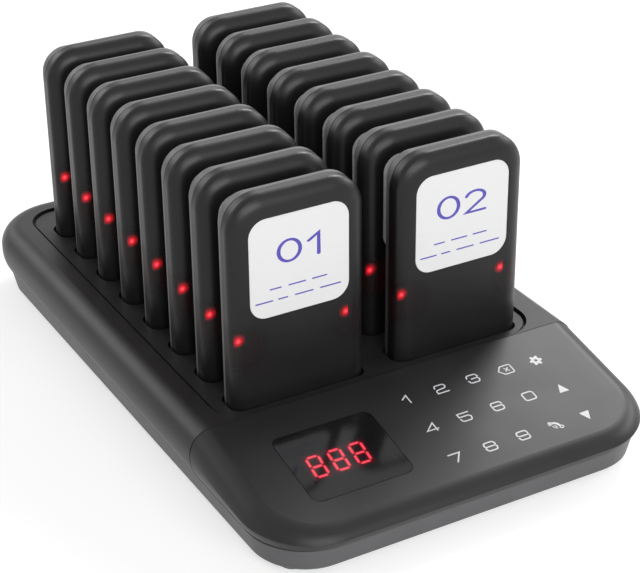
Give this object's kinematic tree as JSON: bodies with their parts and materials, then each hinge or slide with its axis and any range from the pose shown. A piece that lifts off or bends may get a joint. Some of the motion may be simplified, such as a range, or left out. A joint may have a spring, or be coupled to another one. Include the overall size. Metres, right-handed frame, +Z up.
{
  "type": "guest pager system",
  "caption": "Black counter-top charging base with a sloping touch panel and red digit display, holding upright lift-out pagers in two columns of slots.",
  "frame": {"origin": "centre of the base's footprint, on the table", "axes": "+Z up, +X to the user's right, -Y towards the user who faces the touch panel"},
  "size_m": [0.1526, 0.2478, 0.1035],
  "materials": {
    "base_shell": "satin",
    "tray": "satin",
    "smoked_window": "gloss",
    "display_body": "matte",
    "circuit_board": "satin",
    "spring_metal": "satin",
    "screw_steel": "satin",
    "rubber": "matte",
    "socket_plastic": "matte",
    "pager_shell": "satin",
    "pager_works": "satin"
  },
  "bodies": {
    "base": {"base_top_cover": "base_shell", "base_bottom_cover": "base_shell", "charging_tray": "tray", "display_window": "smoked_window", "display_module": "display_body", "touch_board": "circuit_board", "control_board": "circuit_board", "charging_board": "circuit_board", "contact_springs": "spring_metal", "case_screws": "screw_steel", "rubber_feet": "rubber", "power_socket": "socket_plastic"},
    "pager_01": {"pager_01_front_cover": "pager_shell", "pager_01_back_cover": "pager_shell", "pager_01_works": "pager_works"},
    "pager_02": {"pager_02_front_cover": "pager_shell", "pager_02_back_cover": "pager_shell", "pager_02_works": "pager_works"},
    "pager_03": {"pager_03_front_cover": "pager_shell", "pager_03_back_cover": "pager_shell", "pager_03_works": "pager_works"},
    "pager_04": {"pager_04_front_cover": "pager_shell", "pager_04_back_cover": "pager_shell", "pager_04_works": "pager_works"},
    "pager_05": {"pager_05_front_cover": "pager_shell", "pager_05_back_cover": "pager_shell", "pager_05_works": "pager_works"},
    "pager_06": {"pager_06_front_cover": "pager_shell", "pager_06_back_cover": "pager_shell", "pager_06_works": "pager_works"},
    "pager_07": {"pager_07_front_cover": "pager_shell", "pager_07_back_cover": "pager_shell", "pager_07_works": "pager_works"},
    "pager_08": {"pager_08_front_cover": "pager_shell", "pager_08_back_cover": "pager_shell", "pager_08_works": "pager_works"},
    "pager_09": {"pager_09_front_cover": "pager_shell", "pager_09_back_cover": "pager_shell", "pager_09_works": "pager_works"},
    "pager_10": {"pager_10_front_cover": "pager_shell", "pager_10_back_cover": "pager_shell", "pager_10_works": "pager_works"},
    "pager_11": {"pager_11_front_cover": "pager_shell", "pager_11_back_cover": "pager_shell", "pager_11_works": "pager_works"},
    "pager_12": {"pager_12_front_cover": "pager_shell", "pager_12_back_cover": "pager_shell", "pager_12_works": "pager_works"},
    "pager_13": {"pager_13_front_cover": "pager_shell", "pager_13_back_cover": "pager_shell", "pager_13_works": "pager_works"},
    "pager_14": {"pager_14_front_cover": "pager_shell", "pager_14_back_cover": "pager_shell", "pager_14_works": "pager_works"},
    "pager_15": {"pager_15_front_cover": "pager_shell", "pager_15_back_cover": "pager_shell", "pager_15_works": "pager_works"},
    "pager_16": {"pager_16_front_cover": "pager_shell", "pager_16_back_cover": "pager_shell", "pager_16_works": "pager_works"}
  },
  "joints": [
    {"name": "pager_01_lift", "type": "slide", "parent": "base", "child": "pager_01", "axis": [0, 0, 1], "range_m": [0, 0.11]},
    {"name": "pager_02_lift", "type": "slide", "parent": "base", "child": "pager_02", "axis": [0, 0, 1], "range_m": [0, 0.11]},
    {"name": "pager_03_lift", "type": "slide", "parent": "base", "child": "pager_03", "axis": [0, 0, 1], "range_m": [0, 0.11]},
    {"name": "pager_04_lift", "type": "slide", "parent": "base", "child": "pager_04", "axis": [0, 0, 1], "range_m": [0, 0.11]},
    {"name": "pager_05_lift", "type": "slide", "parent": "base", "child": "pager_05", "axis": [0, 0, 1], "range_m": [0, 0.11]},
    {"name": "pager_06_lift", "type": "slide", "parent": "base", "child": "pager_06", "axis": [0, 0, 1], "range_m": [0, 0.11]},
    {"name": "pager_07_lift", "type": "slide", "parent": "base", "child": "pager_07", "axis": [0, 0, 1], "range_m": [0, 0.11]},
    {"name": "pager_08_lift", "type": "slide", "parent": "base", "child": "pager_08", "axis": [0, 0, 1], "range_m": [0, 0.11]},
    {"name": "pager_09_lift", "type": "slide", "parent": "base", "child": "pager_09", "axis": [0, 0, 1], "range_m": [0, 0.11]},
    {"name": "pager_10_lift", "type": "slide", "parent": "base", "child": "pager_10", "axis": [0, 0, 1], "range_m": [0, 0.11]},
    {"name": "pager_11_lift", "type": "slide", "parent": "base", "child": "pager_11", "axis": [0, 0, 1], "range_m": [0, 0.11]},
    {"name": "pager_12_lift", "type": "slide", "parent": "base", "child": "pager_12", "axis": [0, 0, 1], "range_m": [0, 0.11]},
    {"name": "pager_13_lift", "type": "slide", "parent": "base", "child": "pager_13", "axis": [0, 0, 1], "range_m": [0, 0.11]},
    {"name": "pager_14_lift", "type": "slide", "parent": "base", "child": "pager_14", "axis": [0, 0, 1], "range_m": [0, 0.11]},
    {"name": "pager_15_lift", "type": "slide", "parent": "base", "child": "pager_15", "axis": [0, 0, 1], "range_m": [0, 0.11]},
    {"name": "pager_16_lift", "type": "slide", "parent": "base", "child": "pager_16", "axis": [0, 0, 1], "range_m": [0, 0.11]}
  ]
}
